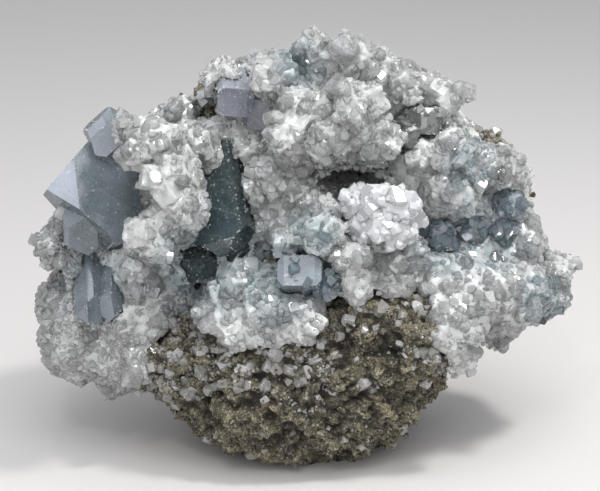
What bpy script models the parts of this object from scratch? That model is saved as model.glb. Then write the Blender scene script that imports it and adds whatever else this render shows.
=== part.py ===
"""A celestite crystal cluster on a loose lump of its host rock.

Metres, +Z up. The crystal side faces -Y, and the origin is the middle of the flat spot
that the rock rests on. Sizes in the tables below are millimetres at a width of 150 mm.
"""

import math
import random

import bmesh
import bpy
from mathutils import Matrix, Vector, noise

# Driving dimensions. Changing WIDTH scales the whole specimen.
WIDTH = 0.150
LAYOUT_WIDTH = 150.0
UNIT = WIDTH / LAYOUT_WIDTH
SEAM = 0.35
ROCK_VOXEL = 3.0
ROCK_TRIANGLES = 1250
LEDGE_HEIGHT = 11.0
LEDGE_DEPTH = 1.6
BROAD_SWELL = 2.2
PIT_DEPTH = 4.0
SURFACE_LIFT = 0.6
CRUST_THICKNESS = 4.6
CRUST_VOXEL = 2.4
CRUST_BODY_TRIANGLES = 900
CRUST_TRIANGLES = 3500
SEAT_SPACING = 5.5
LUMP_HEART = 0.72
SUGARY_HEART = 0.96
BACKING_SHARE = 0.85
BACKING_DISTANCE = 0.9
SUGARY_GROUPS = ("left_lobe", "right_wing")
BASAL_FACE = 0.14

# Host rock: middle (x, y, z) and half sizes (x, y, z) of the lumps that it is made of.
ROCK_LUMPS = [
    ((0, 15, 62), (59, 28, 38)),
    ((6, 15, 86), (36, 20, 21)),
    ((-44, 11, 54), (25, 22, 27)),
    ((-57, 7, 36), (14, 15, 15)),
    ((45, 12, 60), (20, 20, 26)),
    ((57, 7, 46), (16, 16, 10)),
    ((0, 19, 42), (48, 24, 26)),
    ((0, 0, 23), (40, 37, 28)),
    ((24, -22, 38), (20, 13, 13)),
    ((-8, -18, 27), (31, 17, 18)),
    ((-35, -4, 27), (17, 20, 14)),
]

# The crust of druse covers the rock's front above this line, as (x, z) corners.
CRUST_EDGE = [
    (-90, 12),
    (-52, 13),
    (-44, 21),
    (-41, 46),
    (-24, 39),
    (-4, 37),
    (4, 43),
    (11, 53),
    (25, 56),
    (36, 41),
    (40, 31),
    (90, 30),
]
CRUST_BACK_LOW = 4
CRUST_BACK_HIGH = 16
CROWN_HEIGHT = 85
BACKWARD = 0.35

# Druse: middle (x, y, z) and radius of each rounded lump of small crystals.
DRUSE_LUMPS = {
    "left_lobe": [
        (-61, -6, 32, 13.5),
        (-52, -8, 24, 9),
        (-69, -2, 40, 6.5),
        (-68, -7, 58, 6.5),
        (-46, -14, 40, 9),
    ],
    "left_bank": [
        (-48, 9, 82, 9),
        (-55, 8, 74, 10),
        (-59, 4, 64, 8),
        (-64, 2, 54, 7),
    ],
    "left_column": [
        (-40, -24, 91, 8.5),
        (-36, -28, 83, 8),
        (-32, -28, 76, 6),
        (-40, -28, 68, 8),
        (-45.5, -17, 92.5, 5),
        (-30, -16, 91.5, 5),
        (-34, -10, 96, 4.5),
        (-43, -18, 53, 8),
    ],
    "crown": [
        (-21, 0, 103, 6.5),
        (-9, -10, 104.5, 7.5),
        (3.5, -6, 112, 6.5),
        (12, -8, 110.5, 6.5),
        (18, -8, 107, 6),
        (14, -20, 101, 7.5),
        (27, -6, 102, 6),
        (37.5, -4, 98.5, 6),
    ],
    "brow": [
        (1, -16, 98, 8),
        (-6, -20, 93, 6),
        (6.5, -20, 92, 7),
        (19, -20, 91, 6.5),
        (-10, -16, 79.5, 7),
        (-11, -12, 70, 5.5),
        (30, -12, 84, 6),
    ],
    "cheek": [
        (38.5, -12, 86.5, 7),
        (44, -14, 83, 8),
        (40, -16, 76, 7.5),
        (52.5, -8, 81.5, 7),
        (56, -2, 75, 4.5),
    ],
    "sill": [
        (4, -22, 73, 6),
        (4, -26, 67.5, 7),
        (-4, -22, 65, 6.5),
        (11, -26, 62, 6),
        (27, -20, 58, 7),
        (24, -22, 52, 6),
        (20, -15, 65, 7.5),
        (-20, -24, 52, 6),
        (-10, -28, 48, 7),
        (-1, -30, 44.5, 6.5),
        (-24, -26, 44.5, 5.5),
        (13, -26, 54, 6.5),
    ],
    "right_wing": [
        (60.5, -5, 59, 5.5),
        (36.5, -16, 53, 8),
        (47.5, -16, 48, 9),
        (58.5, -10, 45.5, 9.5),
        (68, -4, 44.5, 6.2),
        (52, -10, 37, 7),
        (42, -16, 39.5, 6.5),
    ],
}

# Large crystals, group by group: root, tip, width, thickness, the way that the broad side
# looks, the slope of the chisel's two faces, the slope of its ends (0 for none), and how
# much of its point a flat basal face takes off.
LARGE_CRYSTALS = {
    "left_blue_crystals": [
        ((-47.2, -3.4, 73.8), (-69.5, -12, 75), 32, 14, (-0.2, -0.85, 0.45), 45, 58, 0),
        ((-45, 4, 82), (-56, -11, 93), 13, 10, (-0.4, -0.7, 0.6), 40, 50, 0.1),
        ((-50, 4, 67), (-64, -17, 64), 13, 12, (-0.2, -0.5, 0.8), 42, 48, 0.06),
        ((-60, 2, 60), (-56.8, -21.5, 40.5), 9, 7, (-0.7, -0.6, 0.2), 54, 60, 0),
        ((-53, 2, 57), (-51.5, -22, 42.5), 8, 7, (0.5, -0.8, 0.2), 52, 58, 0),
        ((-65, 6, 53), (-72, -12.5, 46), 9, 8, (-0.3, -0.6, 0.7), 40, 50, 0.08),
    ],
    "teal_crystals": [
        ((-26, -3, 84), (-21, -21, 59), 17, 9, (-0.2, -0.9, 0.1), 38, 52, 0.12),
        ((-19, 4, 86), (-15, -13, 64.5), 9, 9, (0.6, -0.8, 0.2), 46, 50, 0),
        ((-21, 6, 62), (-18.5, -17, 57), 8, 7, (0.2, -0.5, 0.8), 46, 50, 0),
        ((-30, 6, 62), (-28, -19, 53.5), 9, 8, (-0.2, -0.4, 0.9), 42, 52, 0.08),
        ((-36, 6, 62), (-35.5, -15, 57.5), 8, 7, (0.1, -0.4, 0.9), 44, 54, 0.1),
    ],
    "violet_crystals": [
        ((-20.5, 10, 101), (-18, -15, 99.8), 9.5, 7.5, (0.1, 0.1, 1), 14, 0, 0.08),
        ((-11, 10, 99), (-12, -11, 95.5), 9.5, 8.5, (0.1, 0.1, 1), 14, 0, 0.08),
        ((-27, 8, 93), (-28.5, -11, 98), 6.5, 5.5, (-0.1, -0.6, 0.8), 44, 55, 0),
    ],
    "sill_blue_crystals": [
        ((0, -12, 48), (-1.5, -33, 60), 11.5, 8, (0, 0.4, 0.9), 16, 24, 0.1),
        ((5.5, -12, 49), (6, -32, 55.5), 7, 6, (0.3, 0, 0.9), 42, 50, 0.06),
    ],
    "white_crystals": [
        ((20.5, -10, 67), (12, -28, 77.5), 9.5, 6, (-0.5, 0, 0.8), 46, 52, 0.1),
        ((20.5, -10, 67), (18, -31, 80), 8, 6, (0, 0.3, 0.9), 44, 50, 0.05),
        ((20.5, -10, 67), (25, -31, 78), 10, 7, (0.3, -0.5, 0.8), 34, 40, 0.16),
        ((20.5, -10, 67), (28.8, -29, 73.5), 9, 6, (0.7, 0, 0.7), 46, 52, 0),
        ((20.5, -10, 67), (25.5, -32, 69.5), 9, 7, (0.4, -0.3, -0.8), 42, 52, 0.1),
        ((20.5, -10, 67), (18, -33, 71.7), 9, 7, (0.2, 0, 0.9), 44, 50, 0.08),
        ((20.5, -10, 67), (13, -30, 70.5), 8, 5.5, (-0.8, 0, 0.5), 50, 54, 0.05),
    ],
    "right_blue_crystals": [
        ((40, 5, 58), (35.5, -17, 63.5), 9, 7.5, (-0.2, 0, 0.9), 44, 50, 0.08),
        ((46, 5, 62), (44.5, -14, 65), 9, 8, (0.3, 0, 0.9), 44, 50, 0.05),
        ((53, 5, 60), (53.5, -12, 65), 8.5, 7, (0.5, 0, 0.8), 46, 52, 0.08),
        ((54, 5, 66), (55.5, -12, 71.5), 8, 7, (0.2, 0.2, 0.9), 42, 48, 0.1),
    ],
    "dark_crystals": [
        ((33, 8, 91), (31.3, -15, 95), 9, 7, (0, 0, 1), 44, 50, 0.08),
        ((27.5, 6, 90), (26.5, -17, 91.5), 7, 6, (0.4, 0, 0.9), 46, 52, 0),
    ],
}

# The small hollow under the brow, lined with its own crust.
HOLLOW_MIDDLE = Vector((12, -9, 78.5))
HOLLOW_HALF = Vector((12, 17, 6.5))
LINING_WALL = 1.6
LINING_FRONT = -17
LINING_CRYSTALS = 15
LINING_CRYSTAL_LENGTH = 3.4
LINING_FOOT = 0.93
LINING_START = 0.4

# The druse's crystals point away from here, behind the middle of the crystal side.
HEART = Vector((0, 24, 60))


def clear_scene():
    for obj in list(bpy.data.objects):
        bpy.data.objects.remove(obj, do_unlink=True)


def collection(name):
    made = bpy.data.collections.new(name)
    bpy.context.scene.collection.children.link(made)
    return made


def finish(name, colour, roughness, transmission=0.0):
    """A material of celestite's refractive index."""
    made = bpy.data.materials.new(name)
    made.use_nodes = True
    shader = made.node_tree.nodes["Principled BSDF"]
    shader.inputs["Base Color"].default_value = (*colour, 1)
    shader.inputs["Roughness"].default_value = roughness
    shader.inputs["Transmission Weight"].default_value = transmission
    shader.inputs["IOR"].default_value = 1.62
    return made


def object_of(bm, name, where, material=None):
    mesh = bpy.data.meshes.new(name)
    bm.to_mesh(mesh)
    bm.free()
    obj = bpy.data.objects.new(name, mesh)
    where.objects.link(obj)
    if material:
        mesh.materials.append(material)
    return obj


def as_cutter(obj):
    obj.hide_render = True
    obj.display_type = "WIRE"
    return obj


def bake(obj):
    """Applies the object's modifiers, so that what follows starts from their result."""
    graph = bpy.context.evaluated_depsgraph_get()
    mesh = bpy.data.meshes.new_from_object(obj.evaluated_get(graph), depsgraph=graph)
    obj.modifiers.clear()
    old, obj.data = obj.data, mesh
    bpy.data.meshes.remove(old)
    return obj


def boolean(obj, other, operation, self_overlap=False):
    step = obj.modifiers.new(operation.lower(), "BOOLEAN")
    step.operation = operation
    step.object = other
    step.use_self = self_overlap


def bodies_of(bm):
    """The vertices of each separate body."""
    left, bodies = set(bm.verts), []
    while left:
        start = left.pop()
        body, waiting = {start}, [start]
        while waiting:
            for edge in waiting.pop().link_edges:
                for vert in edge.verts:
                    if vert not in body:
                        body.add(vert)
                        waiting.append(vert)
        left -= body
        bodies.append(body)
    return bodies


def keep_largest_body(obj):
    """Drops the crumbs that a cut leaves loose, and any hollow sealed inside."""
    bm = bmesh.new()
    bm.from_mesh(obj.data)
    bmesh.ops.remove_doubles(bm, verts=bm.verts[:], dist=0.000001)
    biggest = max(bodies_of(bm), key=len)
    crumbs = [vert for vert in bm.verts if vert not in biggest]
    bmesh.ops.delete(bm, geom=crumbs, context="VERTS")
    bm.to_mesh(obj.data)
    bm.free()
    return obj


def ellipsoid(bm, middle, half_sizes, fineness=2):
    place = Matrix.Translation(Vector(middle) * UNIT)
    stretch = Matrix.Diagonal((*(Vector(half_sizes) * UNIT), 1))
    bmesh.ops.create_icosphere(bm, subdivisions=fineness, radius=1, matrix=place @ stretch)


def lumpy_body(name, lumps, voxel, where, material=None):
    """One closed, uneven body round a set of ellipsoids."""
    bm = bmesh.new()
    for middle, half_sizes in lumps:
        ellipsoid(bm, middle, half_sizes, fineness=3)
    obj = object_of(bm, name, where, material)
    remesh = obj.modifiers.new("join", "REMESH")
    remesh.mode = "VOXEL"
    remesh.voxel_size = voxel * UNIT
    return bake(obj)


def thin_out(obj, triangles):
    """Brings a mesh down to about this many triangles."""
    have = sum(len(face.vertices) - 2 for face in obj.data.polygons)
    step = obj.modifiers.new("thin", "DECIMATE")
    step.ratio = min(1.0, triangles / have)
    step.use_collapse_triangulate = True
    return bake(obj)


def weather(obj):
    """Pushes the rock's surface in and out: broad lumps, and level ledges."""
    for vert in obj.data.vertices:
        at = vert.co / UNIT
        broad = noise.noise(at / 21.0)
        fine = abs(noise.noise(at / 9.0))
        level = at.z / LEDGE_HEIGHT + 1.2 * noise.noise(at / 20.0)
        ledge = (level - math.floor(level)) ** 2
        depth = BROAD_SWELL * broad - PIT_DEPTH * fine + LEDGE_DEPTH * ledge + SURFACE_LIFT
        vert.co += vert.normal * (depth * UNIT)
    obj.data.update()


def host_rock(where, helpers, material):
    """The lump of rock, cut level where it rests."""
    rock = lumpy_body("matrix", ROCK_LUMPS, ROCK_VOXEL, where, material)
    weather(rock)
    thin_out(rock, ROCK_TRIANGLES)
    size = 3 * WIDTH
    bm = bmesh.new()
    bmesh.ops.create_cube(bm, size=size, matrix=Matrix.Translation((0, 0, -size / 2)))
    boolean(rock, as_cutter(object_of(bm, "rest_cutter", helpers)), "DIFFERENCE")
    return rock


def grown_copy(obj, name, by, where):
    """A cutter that stands this far, in millimetres, off the object all round."""
    copy = bpy.data.objects.new(name, obj.data.copy())
    where.objects.link(copy)
    grow = copy.modifiers.new("grow", "DISPLACE")
    grow.strength = by * UNIT
    grow.mid_level = 0
    return as_cutter(bake(copy))


def cut(bm, point, normal):
    """Takes off what is past a plane, and closes the crystal with a flat face."""
    everything = bm.verts[:] + bm.edges[:] + bm.faces[:]
    bmesh.ops.bisect_plane(
        bm, geom=everything, dist=1e-7, plane_co=point, plane_no=normal, clear_outer=True
    )
    bmesh.ops.holes_fill(bm, edges=[edge for edge in bm.edges if edge.is_boundary])


def crystal(width, thickness, length, roof, end, blunt, corner=0.0, grow=0.0):
    """A chisel-tipped celestite crystal along +Z, in millimetres, its tip at the origin.

    roof is the slope of the two faces that meet in the chisel's edge, end that of the two
    that close its ends, blunt is the share of the width that a flat basal face takes off,
    corner the share that the prism's own edges lose, and grow stands every face off.
    """
    bm = bmesh.new()
    size = Matrix.Diagonal((width + 2 * grow, thickness + 2 * grow, length + 2 * grow, 1))
    bmesh.ops.create_cube(bm, size=1, matrix=Matrix.Translation((0, 0, -length / 2)) @ size)
    for side in (-1, 1):
        slope = math.radians(roof)
        normal = Vector((side * math.sin(slope), 0, math.cos(slope)))
        cut(bm, normal * grow, normal)
        if corner:
            normal = Vector((side, 0.8, 0)).normalized()
            at = Vector((side * width / 2, thickness * (0.5 - corner), 0))
            cut(bm, at + normal * grow, normal)
            cut(bm, -at - normal * grow, -normal)
        if end:
            slope = math.radians(end)
            normal = Vector((0, side * math.sin(slope), math.cos(slope)))
            cut(bm, Vector((0, side * thickness * 0.18, 0)) + normal * grow, normal)
    if blunt:
        cut(bm, Vector((0, 0, grow - blunt * width)), Vector((0, 0, 1)))
    return bm


def stand(bm, tip, axis, facing):
    """Puts a crystal's tip there, pointing along axis, with its broad side that way."""
    side = (facing - axis * facing.dot(axis)).normalized()
    turned = Matrix((side.cross(axis), side, axis)).transposed().to_4x4()
    place = Matrix.Translation(Vector(tip) * UNIT) @ turned @ Matrix.Scale(UNIT, 4)
    bmesh.ops.transform(bm, matrix=place, verts=bm.verts)
    return bm


def add(target, bm):
    """Adds one crystal to the bmesh of a group."""
    mesh = bpy.data.meshes.new("crystal")
    bm.to_mesh(mesh)
    bm.free()
    target.from_mesh(mesh)
    bpy.data.meshes.remove(mesh)


def crystal_group(name, layout, grow, where, material=None):
    """The crystals of one group of large ones. grow makes the cutter for their sockets."""
    bm = bmesh.new()
    for root, tip, width, thickness, facing, roof, end, blunt in layout:
        axis = Vector(tip) - Vector(root)
        form = crystal(width, thickness, axis.length, roof, end, blunt, 0.2, grow)
        add(bm, stand(form, tip, axis.normalized(), Vector(facing)))
    return object_of(bm, name, where, material)


def sphere_directions(count, start):
    """Directions spread evenly over a sphere, along a golden spiral."""
    golden = math.pi * (3 - math.sqrt(5))
    for index in range(count):
        height = 1 - 2 * (index + 0.5) / count
        across = math.sqrt(1 - height * height)
        angle = golden * index + start
        yield Vector((across * math.cos(angle), across * math.sin(angle), height))


def any_way(chance):
    return Vector((chance.uniform(-1, 1), chance.uniform(-1, 1), chance.uniform(-1, 1)))


def rosette(target, lump, sugary, chance):
    """The crystals that fan out of one lump of druse, on the side that faces out."""
    middle, radius = Vector(lump[:3]), lump[3]
    away = middle - HEART
    outward = Vector((away.x * 0.5, away.y, away.z * 0.55)).normalized()
    count = 7 if radius > 6 else 6
    for direction in sphere_directions(count, chance.uniform(0, 2 * math.pi)):
        if direction.dot(outward) < 0.1:
            continue
        width = radius * chance.uniform(0.9, 1.15) * (0.8 if sugary else 1)
        reach = radius * chance.uniform(0.98, 1.16)
        roof = chance.uniform(34, 52)
        basal = chance.choice((0, 0, BASAL_FACE))
        form = crystal(width, width * chance.uniform(0.7, 0.95), reach, roof, 0, basal)
        add(target, stand(form, middle + direction * reach, direction, any_way(chance)))


def druse_crystals(where, material):
    chance = random.Random(7)
    bm = bmesh.new()
    for group, lumps in DRUSE_LUMPS.items():
        for lump in lumps:
            rosette(bm, lump, group in SUGARY_GROUPS, chance)
    return object_of(bm, "druse_crust", where, material)


def edge_height(x):
    """The height of the crust's lower edge on the rock's front, at this x."""
    for (x0, z0), (x1, z1) in zip(CRUST_EDGE, CRUST_EDGE[1:]):
        if x0 <= x <= x1:
            return z0 + (z1 - z0) * (x - x0) / (x1 - x0)
    return CRUST_EDGE[-1][1]


def crust_seats(rock):
    """Points on the rock's front and top that the crust covers, about evenly spaced."""
    seats = []
    for vert in rock.data.vertices:
        at = vert.co / UNIT
        back = CRUST_BACK_HIGH if at.z > CROWN_HEIGHT else CRUST_BACK_LOW
        if at.y > back or at.z < edge_height(at.x) or vert.normal.y > BACKWARD:
            continue
        if all((at - seat).length > SEAT_SPACING for seat in seats):
            seats.append(at)
    return seats


def crust_body(rock, where):
    """The layer that lines the rock, and the hearts of the lumps that stand on it."""
    lumps = [(seat, (CRUST_THICKNESS,) * 3) for seat in crust_seats(rock)]
    for name, group in DRUSE_LUMPS.items():
        share = SUGARY_HEART if name in SUGARY_GROUPS else LUMP_HEART
        for x, y, z, radius in group:
            middle = Vector((x, y, z))
            lumps.append((middle, (radius * share,) * 3))
            behind = middle + (HEART - middle).normalized() * radius * BACKING_DISTANCE
            lumps.append((behind, (radius * BACKING_SHARE,) * 3))
    body = lumpy_body("crust_body", lumps, CRUST_VOXEL, where)
    return as_cutter(thin_out(body, CRUST_BODY_TRIANGLES))


def hollow_cutter(where):
    bm = bmesh.new()
    ellipsoid(bm, HOLLOW_MIDDLE, HOLLOW_HALF)
    return as_cutter(object_of(bm, "hollow_cutter", where))


def hollow_lining(where, helpers, material):
    """The crust of small crystals inside the hollow: an open cup, and what grows in it."""
    seam = Vector((SEAM, SEAM, SEAM))
    wall = Vector((LINING_WALL,) * 3)
    outer, inner, front = bmesh.new(), bmesh.new(), bmesh.new()
    ellipsoid(outer, HOLLOW_MIDDLE, HOLLOW_HALF - seam)
    forward, longer = Vector((0, -6, 0)), Vector((0, 5, 0))
    ellipsoid(inner, HOLLOW_MIDDLE + forward, HOLLOW_HALF - seam - wall + longer)
    size = WIDTH
    middle = Vector((0, LINING_FRONT * UNIT - size / 2, HOLLOW_MIDDLE.z * UNIT))
    bmesh.ops.create_cube(front, size=size, matrix=Matrix.Translation(middle))
    lining = object_of(outer, "hollow_crust", where, material)
    whole = as_cutter(object_of(inner, "lining_cutter", helpers))
    boolean(lining, whole, "DIFFERENCE")
    boolean(lining, as_cutter(object_of(front, "front_cutter", helpers)), "DIFFERENCE")
    bake(lining)
    crystals = bmesh.new()
    chance = random.Random(11)
    for direction in sphere_directions(LINING_CRYSTALS, LINING_START):
        if direction.y < -BACKWARD:
            continue
        foot = HOLLOW_MIDDLE + direction * (HOLLOW_HALF * LINING_FOOT)
        inward = -Vector([way / half for way, half in zip(direction, HOLLOW_HALF)]).normalized()
        width = chance.uniform(2.6, 3.8)
        form = crystal(width, width * 0.85, LINING_CRYSTAL_LENGTH, chance.uniform(38, 54), 0, 0)
        tip = foot + inward * chance.uniform(2.2, 3.2)
        add(crystals, stand(form, tip, inward, any_way(chance)))
    grown = as_cutter(object_of(crystals, "lining_crystals", helpers))
    boolean(lining, grown, "UNION", self_overlap=True)
    bounds = bmesh.new()
    ellipsoid(bounds, HOLLOW_MIDDLE, HOLLOW_HALF - seam)
    boolean(lining, as_cutter(object_of(bounds, "lining_bounds", helpers)), "INTERSECT")
    return lining


def main():
    clear_scene()
    parts = collection("celestite_cluster")
    helpers = collection("cutters")
    stone = finish("host_rock", (0.30, 0.26, 0.20), 0.9)
    pale = finish("druse", (0.66, 0.69, 0.72), 0.25, 0.4)
    blue = finish("blue_celestite", (0.35, 0.47, 0.55), 0.05, 0.9)

    hollow = hollow_cutter(helpers)
    sockets = {}
    rock = host_rock(parts, helpers, stone)
    boolean(rock, hollow, "DIFFERENCE")
    keep_largest_body(bake(rock))
    rock_cutter = grown_copy(rock, "rock_cutter", SEAM, helpers)

    crust = druse_crystals(parts, pale)
    boolean(crust, crust_body(rock, helpers), "UNION", self_overlap=True)
    keep_largest_body(bake(crust))
    thin_out(crust, CRUST_TRIANGLES)
    boolean(crust, rock_cutter, "DIFFERENCE")
    boolean(crust, hollow, "DIFFERENCE")
    for name, layout in LARGE_CRYSTALS.items():
        sockets[name] = as_cutter(crystal_group(name + "_socket", layout, SEAM, helpers))
        boolean(crust, sockets[name], "DIFFERENCE", self_overlap=True)
    keep_largest_body(bake(crust))

    for name, layout in LARGE_CRYSTALS.items():
        group = crystal_group(name, layout, 0.0, parts, blue)
        boolean(group, rock_cutter, "DIFFERENCE", self_overlap=True)
        keep_largest_body(bake(group))
    lining = hollow_lining(parts, helpers, pale)
    boolean(lining, sockets["white_crystals"], "DIFFERENCE", self_overlap=True)
    keep_largest_body(bake(lining))


main()
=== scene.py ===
"""The looks of a celestite crystal cluster on a loose lump of its host rock.

Laid out as an add-on: sizes and colours are properties, each group of pieces has an
operator, and a panel in the 3D view's sidebar lists them. Lengths are metres.
"""

import math
import random

import bmesh
import bpy
import numpy as np
from bpy.props import FloatProperty, FloatVectorProperty, IntProperty, PointerProperty
from mathutils import Matrix, Vector, noise
from mathutils.bvhtree import BVHTree


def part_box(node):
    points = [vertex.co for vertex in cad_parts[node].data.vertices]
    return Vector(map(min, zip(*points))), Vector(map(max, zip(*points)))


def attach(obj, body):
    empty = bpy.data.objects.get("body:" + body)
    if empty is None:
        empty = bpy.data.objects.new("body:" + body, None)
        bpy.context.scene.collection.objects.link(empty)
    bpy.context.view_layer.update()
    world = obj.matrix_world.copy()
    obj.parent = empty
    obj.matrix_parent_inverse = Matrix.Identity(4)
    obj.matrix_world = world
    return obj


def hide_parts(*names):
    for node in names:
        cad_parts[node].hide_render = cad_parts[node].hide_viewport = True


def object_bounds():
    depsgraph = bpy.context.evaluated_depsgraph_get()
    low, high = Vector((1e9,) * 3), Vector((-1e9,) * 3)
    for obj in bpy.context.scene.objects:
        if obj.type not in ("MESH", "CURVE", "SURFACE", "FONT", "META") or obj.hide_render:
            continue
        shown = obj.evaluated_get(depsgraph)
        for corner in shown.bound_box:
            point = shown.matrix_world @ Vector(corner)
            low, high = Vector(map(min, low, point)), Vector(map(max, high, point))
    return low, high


bl_info = {
    "name": "Celestite crystal cluster",
    "version": (1, 0, 0),
    "blender": (4, 5, 0),
    "location": "3D View > Sidebar > Celestite",
    "description": "Dresses a celestite cluster: host rock, druse and large clear crystals",
    "category": "Object",
}

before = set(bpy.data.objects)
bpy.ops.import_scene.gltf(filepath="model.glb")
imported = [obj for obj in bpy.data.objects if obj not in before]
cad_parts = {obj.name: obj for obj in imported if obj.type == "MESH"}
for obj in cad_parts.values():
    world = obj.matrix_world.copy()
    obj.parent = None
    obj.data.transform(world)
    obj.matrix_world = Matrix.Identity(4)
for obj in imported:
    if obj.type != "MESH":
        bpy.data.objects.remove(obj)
CAD_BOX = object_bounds()
MM = 0.001
CELESTITE_IOR = 1.62
ROCK_IOR = 1.5
FLOOR_IOR = 1.45
FULL_TURN = 2 * math.pi

# How finely the solids are split before relief is carved in them.
REFINING_ROUNDS = 4
ROCK_EDGE = 1.5 * MM
CRUST_EDGE = 1.6 * MM
MERGE_DISTANCE = 0.002 * MM

# The flat spot that the rock rests on is left as it is: smoothing, carving and grains start
# above these heights, and nothing is carved lower than the last.
SMOOTH_ABOVE = 0.5 * MM
CARVE_ABOVE = 0.3 * MM
GRAINS_ABOVE = 2 * MM
LOWEST_CARVED = 0.1 * MM

# How deep a small thing's foot is sunk in what carries it, as a share of its size.
SINK = {
    "druse": 0.55,
    "rock_crystal": 0.58,
    "lump": 0.32,
    "spine": 0.5,
    "speck": 0.4,
    "edge_speck": 0.6,
    "facet": 0.52,
}

# Rock is bare where no crust lies over it this near, and druse grows where no rock does.
CRUST_ABOVE = 5 * MM
ROCK_ABOVE = 3 * MM

# Druse is finer this near to a large crystal. Crystals on the rock, and specks on the large
# crystals, thin out over these distances from the crust.
LARGE_NEARBY = 4 * MM
RAGGED_EDGE = 2.5 * MM
SPECK_REACH = 1.2 * MM

# The share of the druse's crystals that are frosted white.
FROSTED_SHARE = 0.05

# Large crystals: the light lost inside them for each metre, the angle under which their faces
# are one, the angle over which their edges are worn, and the spacing of specks along edges.
CRYSTAL_DENSITY = 60.0
FLAT_ANGLE = math.radians(1)
WORN_ANGLE = math.radians(20)
EDGE_SPECK_SPACING = 0.7 * MM

# Places are tried at most this many times for each one that is asked for.
TRIES = 5

# The photograph's view: a long lens, a little above the piece, straight at its front.
CAMERA_TILT = math.radians(17)
CAMERA_DISTANCE = 0.460
CAMERA_TARGET = Vector((-0.00125, 0, 0.0564))
CAMERA_LENS = 99.36

# The lights, each with its place, what it points at, width, power and colour.
PIECE = Vector((0, 0, 0.06))
LIGHTS = {
    "key": (Vector((0.28, -0.10, 0.60)), PIECE, 0.08, 2.1, (1, 0.98, 0.95)),
    "softbox": (Vector((0.05, -0.30, 0.80)), PIECE, 0.60, 2.8, (0.98, 0.99, 1)),
    "overhead": (Vector((0, 0, 1.50)), PIECE, 1.80, 2.4, (1, 1, 1)),
    "front": (Vector((-0.04, -0.55, 0.34)), PIECE, 0.60, 1.5, (1, 0.99, 0.97)),
    "glint": (Vector((-0.10, -0.42, 0.52)), PIECE, 0.03, 0.30, (1, 1, 1)),
    "backdrop": (Vector((-0.45, 0.90, 1.20)), Vector((-0.35, 0.90, 0)), 0.80, 0.9, (1, 1, 1)),
}
SKY_STRENGTH = 0.62

# The floor reaches this far each way. Behind the piece it turns up into the backdrop, past
# where a camera that looks at the back stands.
FLOOR_REACH = 3.0
FLOOR_TURN = 1.4
FLOOR_RADIUS = 0.6

# Small crystals grow inside the hollow behind this y, in millimetres, and on its rim.
HOLLOW_RIM = -13

# Where the crust is fine sugar: middle and radius, in millimetres.
SUGAR_PATCHES = (
    (Vector((-60, -8, 30)), 21),
    (Vector((45, -16, 38)), 10),
    (Vector((66, -8, 44)), 9),
    (Vector((-68, -8, 57)), 9),
    (Vector((46, -14, 82)), 9),
)

# Where druse lies on the bare rock, as the front view shows it: millimetres to the right of
# the camera's target and above it, then the radius.
ROCK_DRUSE_PATCHES = (
    (-3, -29, 12),
    (-18, -33, 8),
    (-33, -27, 6),
    (-39, -38, 5),
    (-29, -39, 4),
    (-1, -43, 6),
    (-10, -40, 5),
    (33, -28, 4),
    (42, -30, 6),
    (20, -39, 2.5),
    (53, 32, 7),
    (-28, 43, 5),
    (-62, -8, 4),
    (-10, -2, 4),
)

# Where the druse is bluer and darker, in recesses: a bluer colour, with painted shade of the recesses
# in it. As the front view shows it: millimetres to the right of the camera's target and above it,
# then the radius.
BLUE_AND_SHADE_PATCHES = (
    (-8, -8, 13),
    (-28, -7, 13),
    (3, 2, 8),
    (-56, -10, 10),
    (50, 3, 12),
    (39, -1, 8),
    (47, 22, 7),
    (0, 50, 7),
    (-20, 8, 8),
    (67, -15, 7),
)

# Large crystals: node, its colour, the paler colour painted on some of its faces as a painted
# reflection, the way that the faces with that painted reflection look, and its slot.
LARGE_GROUPS = {
    "left_blue_crystals": ("blue", "lilac", Vector((-0.3, -0.9, 0.3)), "blue_celestite"),
    "teal_crystals": ("teal", "blue", Vector((0.1, -0.6, -0.8)), "teal_celestite"),
    "violet_crystals": ("violet", "lilac", Vector((-0.2, -0.2, 1)), "violet_celestite"),
    "sill_blue_crystals": ("pale_blue", "lilac", Vector((0, -0.5, 0.85)), "blue_celestite"),
    "white_crystals": ("white", "white", Vector((0, 0, 1)), "white_celestite"),
    "right_blue_crystals": ("blue", "lilac", Vector((0, -0.6, 0.8)), "blue_celestite"),
    "dark_crystals": ("slate", "druse", Vector((0, -0.6, 0.8)), "blue_celestite"),
}

# Groups in shadowed recesses, grown over with small crystals of their own colour.
COATED_GROUPS = {"right_blue_crystals": 320, "dark_crystals": 90, "sill_blue_crystals": 60}

# The spray of white crystals fans out from here, in millimetres.
WHITE_HEART = Vector((20.5, -10, 67))

# Facets that mirror the key light: x and z in millimetres where the line of sight crosses the
# plane at FACET_PLANE, and width.
FACET_PLANE = -20
BRIGHT_FACETS = (
    (-14.6, 57.0, 5.0),
    (-8.6, 47.5, 3.4),
    (-28.0, 100.0, 5.0),
    (-38.5, 89.5, 3.4),
    (-39.0, 81.0, 3.8),
    (24.5, 76.0, 6.0),
    (17.5, 73.5, 4.4),
    (21.5, 68.5, 4.0),
    (46.5, 79.5, 3.0),
    (51.0, 83.0, 3.0),
    (38.5, 79.0, 2.6),
    (19.5, 108.0, 3.2),
    (-5.5, 69.0, 3.2),
    (44.5, 60.0, 2.6),
    (8.5, 60.5, 3.4),
    (12.5, 56.0, 3.6),
    (-1.5, 93.0, 2.8),
    (-64.0, 72.0, 2.8),
    (-36.0, 60.0, 2.6),
    (54.0, 66.0, 2.4),
)


def colour_property(name, description, default):
    return FloatVectorProperty(
        name=name, description=description, default=default, subtype="COLOR", min=0, max=1, size=3
    )


def length_property(name, description, default):
    return FloatProperty(
        name=name, description=description, default=default, min=0, unit="LENGTH", precision=5
    )


def count_property(name, description, default):
    return IntProperty(name=name, description=description, default=default, min=0)


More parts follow.
